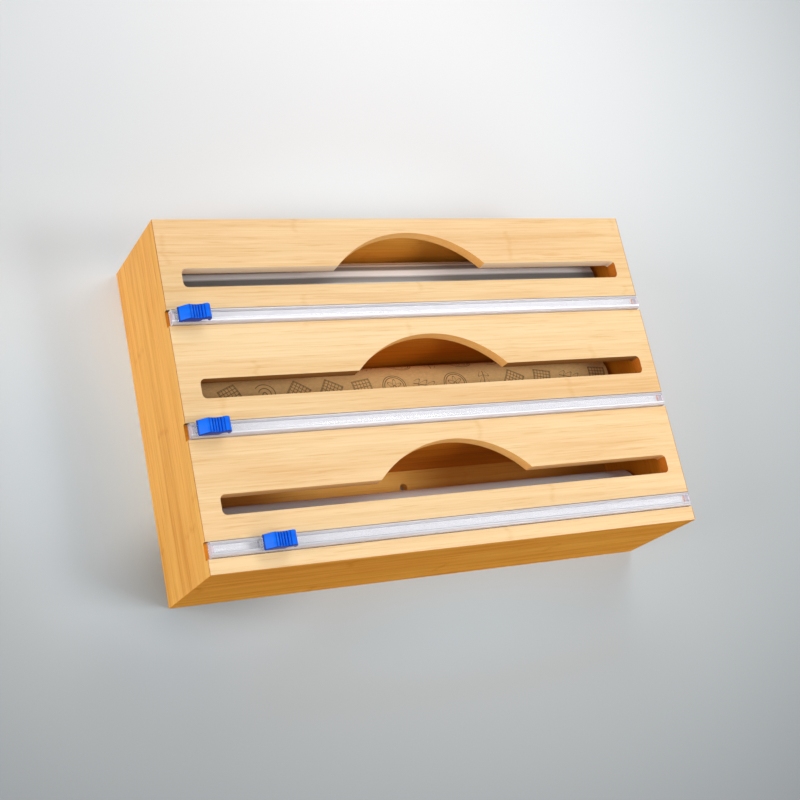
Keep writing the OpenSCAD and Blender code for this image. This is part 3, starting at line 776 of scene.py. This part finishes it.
def makeBluePlastic(wrap, look):
    low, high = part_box(wrap + "_grip")
    material, tree, principled, vector = newMaterial(
        wrap + "BlueMoulding", shift=-low, Specular_IOR_Level=look["gloss"])
    pores = stretchedNoise(tree, vector, look["pores"], detail=2.0)
    flow = stretchedNoise(tree, vector, look["flow"])
    x, y, _ = splitAxes(tree, vector)
    count = gripShape["ribs"]
    middle = saddleMiddle((high.x - low.x) / mm) * mm
    rib = calc(tree, "DIVIDE", calc(tree, "SUBTRACT", x, middle), gripShape["ribPitch"] * mm)
    fromRoot = calc(tree, "ABSOLUTE", fromMiddle(tree, calc(tree, "ADD", rib, (count - 1) / 2)))
    isRibbed = calc(tree, "LESS_THAN", calc(tree, "ABSOLUTE", rib), count / 2 + look["rootMargin"])
    # painted shade: navy in the rib roots, on the nose and along the sides
    root = remap(tree, fromRoot, *look["rootEdges"], look["rootShade"], 0.0)
    nose = remap(tree, x, *look["noseEdges"], look["sideShade"], 0.0)
    side = remap(tree, y, *look["sideEdges"], look["sideShade"], 0.0)
    dark = calc(tree, "MAXIMUM", calc(tree, "MULTIPLY", root, isRibbed), calc(tree, "MAXIMUM", nose, side))
    colour = blendColours(tree, spread(tree, flow), *look["tones"])
    colour = blendColours(tree, dark, colour, look["shadeNavy"])
    tree.links.new(colour, principled.inputs["Base Color"])
    tree.links.new(spread(tree, pores, *look["roughness"]), principled.inputs["Roughness"])
    addBump(tree, principled, pores, *look["bump"])
    return material


for wrap in wraps:
    makeGrip(wrap, makeBluePlastic(wrap, bluePlastic))
print("grips modelled")

# Wound rolls

rollShape = {
    "foil": {"turns": 18, "start": 250, "drift": 0.10},  # start in degrees, drift in millimetres
    "paper": {"turns": 8, "start": 200, "drift": 0.25},
    "film": {"turns": 10, "start": 300, "drift": 0.18},
}
rollSteps = {
    "round": 64,
    "along": 6,
    "innerGap": 0.55,  # in turns' thicknesses, like the next two
    "outerGap": 0.45,
    "fill": 0.86,
    "smooth": 35,  # degrees
}


def windSheet(wrap, shape, material):
    low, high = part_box(wrap + "_roll")
    coreLow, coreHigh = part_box(wrap + "_core")
    centre = (low + high) / 2
    pitch = ((high.z - low.z) - (coreHigh.z - coreLow.z)) / 2 / (shape["turns"] + 1)
    inner = (coreHigh.z - coreLow.z) / 2 + pitch * rollSteps["innerGap"]
    outer = (high.z - low.z) / 2 - pitch * rollSteps["outerGap"]
    bpy.ops.object.select_all(action="DESELECT")
    bpy.ops.mesh.primitive_grid_add(x_subdivisions=rollSteps["along"],
                                    y_subdivisions=shape["turns"] * rollSteps["round"], size=1)
    sheet = bpy.context.object
    sheet.name = wrap + "WoundSheet"
    drifts = random.Random(wrap)
    sway = [drifts.uniform(-1, 1) * shape["drift"] * mm for _ in range(shape["turns"] + 2)]
    length = high.x - low.x - 2 * max(abs(s) for s in sway)
    laid = []
    for corner in sheet.data.vertices:
        share = corner.co.y + 0.5
        turn = share * shape["turns"]
        angle = math.radians(shape["start"]) + 2 * math.pi * turn
        radius = inner + (outer - inner) * share
        # each turn lies a little to one side of the last
        offset = sway[int(turn)] + (sway[int(turn) + 1] - sway[int(turn)]) * (turn % 1)
        laid.append((corner.co.x * length, 2 * math.pi * shape["turns"] * (inner + radius) / 2 * share))
        corner.co = (corner.co.x * length + offset,
                     centre.y + radius * math.cos(angle), centre.z + radius * math.sin(angle))
    for loop, spot in zip(sheet.data.loops, sheet.data.uv_layers.active.data):
        spot.uv = laid[loop.vertex_index]
    bpy.ops.object.modifier_add(type="SOLIDIFY")
    sheet.modifiers[0].thickness = pitch * rollSteps["fill"]
    sheet.modifiers[0].offset = 0
    applyModifiers(sheet)
    bpy.ops.object.mode_set(mode="EDIT")
    bpy.ops.mesh.select_all(action="SELECT")
    bpy.ops.mesh.normals_make_consistent(inside=False)
    bpy.ops.object.mode_set(mode="OBJECT")
    bpy.ops.object.shade_smooth_by_angle(angle=math.radians(rollSteps["smooth"]))
    sheet.data.materials.append(material)
    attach(sheet, wrap + "_roll")
    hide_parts(wrap + "_roll")


def aroundAxis(node):  # shift that puts a roll's axis at the middle of its pattern
    low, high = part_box(node)
    middle = (low + high) / 2
    return (0, -middle.y, -middle.z)


foilFinish = {
    # bright is a painted highlight and dull a painted shade on the roll
    "bright": (0.97, 0.985, 1.0, 1),
    "dull": (0.25, 0.248, 0.245, 1),
    "metallic": 0.10,
    "gloss": 0.6,
    "roughness": (0.30, 0.40),
    "rollMarks": (900, 30, 30),
    "bands": 15,  # lengthwise bands of painted highlight and painted shade
    "highlightAngle": 66.8,  # where the painted highlight lies, in degrees from the rear
    "bandEdges": (-0.55, 0.50),
    "bandDrift": ((5, 40, 40), 0.03),  # noise, and how far it moves the bands, in radians
    "bandReach": (0.30, 0.46),  # past this the bands give way to uneven streaks
    "streaks": (1.2, 210, 210),
    "streakEdges": (0.36, 0.62),
    "streakShares": (0.05, 0.9),
}


def makeFoil(look):
    material, tree, principled, vector = newMaterial(
        "rolledFoil", shift=aroundAxis("foil_roll"),
        Metallic=look["metallic"], Specular_IOR_Level=look["gloss"])
    marks = stretchedNoise(tree, vector, look["rollMarks"])
    stretch, drift = look["bandDrift"]
    drifted = spread(tree, stretchedNoise(tree, vector, stretch, detail=2.0), -drift, drift)
    _, y, z = splitAxes(tree, vector)
    # painted highlight and shade bands near the angle that the slot shows, giving way to streaks farther
    # round
    angle = calc(tree, "SUBTRACT", calc(tree, "ARCTAN2", z, y), math.radians(look["highlightAngle"]))
    angle = calc(tree, "ADD", angle, drifted)
    band = calc(tree, "COSINE", calc(tree, "MULTIPLY", angle, look["bands"]))
    streaks = stretchedNoise(tree, vector, look["streaks"], detail=2.0)
    streaks = remap(tree, streaks, *look["streakEdges"], *look["streakShares"])
    away = remap(tree, calc(tree, "ABSOLUTE", angle), *look["bandReach"])
    share = remap(tree, away, 0.0, 1.0, remap(tree, band, *look["bandEdges"]), streaks)
    colour = blendColours(tree, share, look["dull"], look["bright"])
    tree.links.new(colour, principled.inputs["Base Color"])
    tree.links.new(spread(tree, marks, *look["roughness"]), principled.inputs["Roughness"])
    return material


printPattern = {
    "cell": 22 * mm,
    "shift": 5 * mm,
    "turn": 360,  # degrees, by lot for each motif
    "line": 0.016,  # in cells, like the sizes below
    "solid": 0.6,  # share of a line's width before its soft edge
    "rosette": {"rings": (0.37, 0.31, 0.05), "petals": 6, "petalReach": 0.17, "petalWave": 0.07},
    "sprig": {"leaves": 4.2, "slant": 0.9, "width": 0.17, "reach": 0.38},
    "diamond": {"reach": 0.40, "hatch": 7},
    "fan": {"rings": 8, "reach": 0.37, "top": 0.12},
    "odds": {"sprig": 0.72, "diamond": 0.40, "fan": 0.18},  # a lot under a limit picks that motif
}


def makePrintGroup(look):
    tree, given, result = newGroup(
        "linePrint", [("Vector", "NodeSocketVector", None), ("Cell", "NodeSocketFloat", look["cell"])],
        [("Ink", "NodeSocketFloat")])

    def maths(operation, *values):
        return calc(tree, operation, *values)

    def line(away, width=look["line"]):
        return remap(tree, maths("ABSOLUTE", away), width * look["solid"], width, 1.0, 0.0)

    def within(value, limit):
        return maths("LESS_THAN", value, limit)

    def anyOf(*masks):
        total = masks[0]
        for mask in masks[1:]:
            total = maths("MAXIMUM", total, mask)
        return total

    def repeated(value, count):  # count lines in each cell
        return line(fromMiddle(tree, maths("MULTIPLY", value, count)), look["line"] * count)

    # cells in staggered rows, each with its own lots
    axes = splitAxes(tree, given["Vector"])
    rows = maths("DIVIDE", axes["Y"], given["Cell"])
    row = maths("FLOOR", rows)
    stagger = maths("MULTIPLY", maths("MODULO", row, 2.0), 0.5)
    columns = maths("ADD", maths("DIVIDE", axes["X"], given["Cell"]), stagger)
    spot = addNode(tree, "ShaderNodeCombineXYZ", {"X": maths("FLOOR", columns), "Y": row}).outputs[0]
    dice = addNode(tree, "ShaderNodeTexWhiteNoise", {"Vector": spot}, noise_dimensions="2D").outputs
    lots = addNode(tree, "ShaderNodeSeparateColor", {0: dice["Color"]}).outputs
    local = addNode(tree, "ShaderNodeCombineXYZ", {
        "X": fromMiddle(tree, columns), "Y": fromMiddle(tree, rows)}).outputs[0]
    turned = addNode(tree, "ShaderNodeVectorRotate", {
        "Vector": local, "Angle": maths("MULTIPLY", lots["Green"], math.radians(look["turn"])),
    }, rotation_type="Z_AXIS").outputs[0]
    u, v, _ = splitAxes(tree, turned)
    reach = lengthOf(tree, turned)
    motifs = {}
    # a rosette in two rings
    shape = look["rosette"]
    petals = maths("COSINE", maths("MULTIPLY", maths("ARCTAN2", v, u), shape["petals"]))
    petals = maths("ADD", maths("MULTIPLY", petals, shape["petalWave"]), shape["petalReach"])
    edges = (*shape["rings"], petals)
    motifs["rosette"] = anyOf(*(line(maths("SUBTRACT", reach, edge)) for edge in edges))
    # a sprig with paired leaves
    shape = look["sprig"]
    side = maths("ABSOLUTE", u)
    leaf = maths("SUBTRACT", v, maths("MULTIPLY", side, shape["slant"]))
    leaf = maths("FRACT", maths("MULTIPLY", leaf, shape["leaves"]))
    edge = maths("MULTIPLY", maths("SINE", maths("MULTIPLY", leaf, math.pi)), shape["width"])
    drawn = anyOf(line(u), line(maths("SUBTRACT", side, edge)))
    motifs["sprig"] = maths("MULTIPLY", drawn, within(maths("ABSOLUTE", v), shape["reach"]))
    # a hatched diamond
    shape = look["diamond"]
    diamond = maths("ADD", side, maths("ABSOLUTE", v))
    hatch = anyOf(*(repeated(maths(way, u, v), shape["hatch"]) for way in ("ADD", "SUBTRACT")))
    hatch = maths("MULTIPLY", hatch, within(diamond, shape["reach"]))
    motifs["diamond"] = anyOf(line(maths("SUBTRACT", diamond, shape["reach"])), hatch)
    # a fan of half rings
    shape = look["fan"]
    fan = maths("MULTIPLY", repeated(reach, shape["rings"]), within(reach, shape["reach"]))
    motifs["fan"] = maths("MULTIPLY", fan, within(v, shape["top"]))
    ink = motifs["rosette"]
    for motif, limit in look["odds"].items():
        isHere = within(lots["Red"], limit)
        others = maths("MULTIPLY", ink, maths("SUBTRACT", 1.0, isHere))
        ink = maths("ADD", maths("MULTIPLY", motifs[motif], isHere), others)
    tree.links.new(ink, result["Ink"])
    return tree


kraftFinish = {
    "tones": ((0.92, 0.61, 0.265, 1), (0.80, 0.51, 0.205, 1)),
    "roughness": 0.8,
    "gloss": 0.2,
    "pulp": (500, 900, 900),
    "flecks": (1500, 2500, 2500),
    "fleckEdges": (0.62, 0.75),
    "fleckShade": 0.35,
    "fleckTone": (0.30, 0.16, 0.065, 1),
    "inkTone": (0.115, 0.052, 0.020, 1),
    "inkShade": 0.78,
    "bump": (0.15, 0.1 * mm),
}


def makeKraft(look):
    material, tree, principled, vector = newMaterial(
        "printedKraft", Roughness=look["roughness"], Specular_IOR_Level=look["gloss"])
    unrolled = addNode(tree, "ShaderNodeUVMap").outputs[0]
    laid = {"Vector": unrolled, "Location": (0, -printPattern["shift"], 0)}
    flat = addNode(tree, "ShaderNodeMapping", laid).outputs[0]
    ink = useGroup(tree, makePrintGroup(printPattern), {"Vector": flat})["Ink"]
    pulp = stretchedNoise(tree, vector, look["pulp"], detail=4.0)
    flecks = stretchedNoise(tree, vector, look["flecks"], detail=2.0)
    flecks = remap(tree, flecks, *look["fleckEdges"], 0.0, look["fleckShade"])
    colour = blendColours(tree, spread(tree, pulp), *look["tones"])
    colour = blendColours(tree, flecks, colour, look["fleckTone"])
    colour = blendColours(tree, calc(tree, "MULTIPLY", ink, look["inkShade"]), colour, look["inkTone"])
    tree.links.new(colour, principled.inputs["Base Color"])
    addBump(tree, principled, pulp, *look["bump"])
    return material


filmFinish = {
    "tones": ((0.97, 1.0, 1.0, 1), (0.92, 0.97, 1.0, 1)),
    "roughness": 0.22,
    "index": 1.49,
    "clearness": 0.05,  # many turns are milky
    "coat": (0.4, 0.12),  # weight and roughness
    "bands": (14, 420, 420),
    "bump": (0.08, 0.2 * mm),
}


def makeFilm(look):
    coat, coatRoughness = look["coat"]
    material, tree, principled, vector = newMaterial(
        "clingFilm", Roughness=look["roughness"], IOR=look["index"], Transmission_Weight=look["clearness"],
        Coat_Weight=coat, Coat_Roughness=coatRoughness)
    bands = stretchedNoise(tree, vector, look["bands"])
    colour = blendColours(tree, spread(tree, bands), *look["tones"])
    tree.links.new(colour, principled.inputs["Base Color"])
    addBump(tree, principled, bands, *look["bump"])
    return material


windSheet("foil", rollShape["foil"], makeFoil(foilFinish))
windSheet("paper", rollShape["paper"], makeKraft(kraftFinish))
windSheet("film", rollShape["film"], makeFilm(filmFinish))

cardFinish = {
    "tones": ((0.44, 0.27, 0.125, 1), (0.34, 0.195, 0.085, 1)),
    "seamTone": (0.17, 0.09, 0.04, 1),
    "seamShade": 0.5,
    "seamPitch": 62 * mm,  # along the core
    "seamWidth": 0.014,  # as a share of the pitch
    "roughness": 0.85,
    "gloss": 0.2,
    "pulp": (700, 700, 700),
    "bump": (0.2, 0.1 * mm),
    "ease": 0.15 * mm,
}


def makeCard(wrap, look):
    material, tree, principled, vector = newMaterial(
        wrap + "Card", shift=aroundAxis(wrap + "_core"),
        Roughness=look["roughness"], Specular_IOR_Level=look["gloss"])
    x, y, z = splitAxes(tree, vector)
    turn = calc(tree, "MULTIPLY", calc(tree, "ARCTAN2", z, y), 1 / (2 * math.pi))
    wound = calc(tree, "ADD", turn, calc(tree, "DIVIDE", x, look["seamPitch"]))
    away = calc(tree, "ABSOLUTE", fromMiddle(tree, wound))
    seam = remap(tree, away, 0.0, look["seamWidth"], 1.0, 0.0)
    pulp = stretchedNoise(tree, vector, look["pulp"], detail=4.0)
    colour = blendColours(tree, spread(tree, pulp), *look["tones"])
    colour = blendColours(tree, calc(tree, "MULTIPLY", seam, look["seamShade"]), colour, look["seamTone"])
    tree.links.new(colour, principled.inputs["Base Color"])
    addBump(tree, principled, calc(tree, "SUBTRACT", pulp, seam), *look["bump"])
    return material


for wrap in wraps:
    dress(wrap + "_core", makeCard(wrap, cardFinish), cardFinish["ease"])
print("rolls wound")

# Metal fittings

metals = {  # pale tone, deep tone, roughness and brushing
    "platedBrass": ((0.80, 0.58, 0.25, 1), (0.66, 0.45, 0.17, 1), 0.28, (120, 2400, 2400)),
    "groundSteel": ((0.62, 0.63, 0.65, 1), (0.52, 0.53, 0.55, 1), 0.25, (2200, 300, 120)),
    "nickelPlate": ((0.70, 0.69, 0.66, 1), (0.62, 0.61, 0.58, 1), 0.20, (900, 900, 900)),
}
metalFinish = {
    "tarnish": (160, 160, 160),
    "tarnishEdges": (0.35, 0.7),
    "uneven": (0.75, 1.35),  # times the roughness
    "bump": (0.08, 0.04 * mm),
}
fittingEases = {"hinge": 0.1 * mm, "magnet": 0.2 * mm, "blade": 0.05 * mm}


def makeMetal(name, look):
    pale, deep, roughness, brushing = metals[name]
    material, tree, principled, vector = newMaterial(name, Metallic=1.0)
    brushed = stretchedNoise(tree, vector, brushing)
    tarnish = stretchedNoise(tree, vector, look["tarnish"])
    colour = blendColours(tree, remap(tree, tarnish, *look["tarnishEdges"]), pale, deep)
    least, most = (roughness * share for share in look["uneven"])
    tree.links.new(colour, principled.inputs["Base Color"])
    tree.links.new(spread(tree, brushed, least, most), principled.inputs["Roughness"])
    addBump(tree, principled, brushed, *look["bump"])
    return material


brass, steel, nickel = (makeMetal(name, metalFinish) for name in metals)
for end in caseEnds:
    dress(end + "_case_leaf", brass, fittingEases["hinge"])
    dress(end + "_lid_leaf", brass, fittingEases["hinge"])
    dress(end + "_hinge_pin", steel, fittingEases["hinge"])
for node in ("case_magnets", "lid_magnets"):
    dress(node, nickel, fittingEases["magnet"])
for wrap in wraps:
    dress(wrap + "_blade", steel, fittingEases["blade"])
screwShape = {
    "sides": 40,
    "rim": 0.15,  # upright edge of the head, in millimetres like the rest
    "sink": 1.0,
    "shank": 0.9,
    "tip": (1.8, 0.04),  # length, and how far it narrows
    "pitch": 16.0,
    "cross": (0.5, 2.3, 0.7),  # width, length and depth of the recess
    "ease": (0.06, 2),  # rounding of the head and its segments
    "headBand": 0.01,  # what counts as the top of the head
    "stop": 400,  # radians of turn for each metre along the hinge
    "smooth": 35,  # degrees
}


def makeScrew(shape, headRadius, length):
    bpy.ops.object.select_all(action="DESELECT")
    bpy.ops.mesh.primitive_circle_add(vertices=shape["sides"], radius=headRadius, fill_type="NGON")
    screw = bpy.context.object
    bpy.ops.object.mode_set(mode="EDIT")
    bpy.ops.mesh.select_all(action="SELECT")
    narrow = shape["shank"] * mm / headRadius
    tip, point = shape["tip"]
    steps = ((shape["rim"], 1.0), (shape["sink"] - shape["rim"], narrow),
             (length / mm - shape["sink"] - tip, 1.0), (tip, point))
    for drop, scale in steps:
        bpy.ops.mesh.extrude_region_move(TRANSFORM_OT_translate={"value": (0, 0, -drop * mm)})
        bpy.ops.transform.resize(value=(scale, scale, 1))
    bpy.ops.mesh.select_all(action="SELECT")
    bpy.ops.mesh.normals_make_consistent(inside=False)
    selectEdges(screw, lambda a, b: min(a.z, b.z) > -shape["headBand"] * mm)
    ease, segments = shape["ease"]
    bpy.ops.mesh.bevel(offset=ease * mm, segments=segments)
    bpy.ops.object.mode_set(mode="OBJECT")
    width, reach, depth = (size * mm for size in shape["cross"])
    arms = []
    for size in ((width, reach, depth * 2), (reach, width, depth * 2)):
        bpy.ops.mesh.primitive_cube_add(size=1)
        arm = bpy.context.object
        arm.scale = size
        bpy.ops.object.transform_apply(location=False, rotation=False, scale=True)
        arms.append(arm)
        recess = screw.modifiers.new("recess", "BOOLEAN")
        recess.operation = "DIFFERENCE"
        recess.object = arm
    applyModifiers(screw)
    for arm in arms:
        bpy.data.objects.remove(arm)
    return screw


def placeScrews(node, body, isUpright):
    low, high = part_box(node)
    radius, pitch = (high.y - low.y) / 2, screwShape["pitch"] * mm
    first = makeScrew(screwShape, radius, high.z - low.z)
    seats = [low.x + radius, low.x + radius + pitch, high.x - radius - pitch, high.x - radius]
    screws = [first]
    for _ in seats[1:]:
        copy = first.copy()
        copy.data = first.data.copy()
        bpy.context.collection.objects.link(copy)
        screws.append(copy)
    bpy.ops.object.select_all(action="DESELECT")
    for screw, x in zip(screws, seats):
        screw.location = (x, (low.y + high.y) / 2, high.z if isUpright else low.z)
        screw.rotation_euler = (0 if isUpright else math.pi, 0, x * screwShape["stop"])
        screw.select_set(True)
    bpy.context.view_layer.objects.active = first
    bpy.ops.object.transform_apply(location=True, rotation=True, scale=True)
    bpy.ops.object.join()
    bpy.ops.object.shade_smooth_by_angle(angle=math.radians(screwShape["smooth"]))
    first.name = body + "HingeScrews"
    first.data.materials.append(brass)
    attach(first, body)
    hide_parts(node)


placeScrews("case_hinge_screws", "case", True)
placeScrews("lid_hinge_screws", "lid", False)
print("fittings finished")
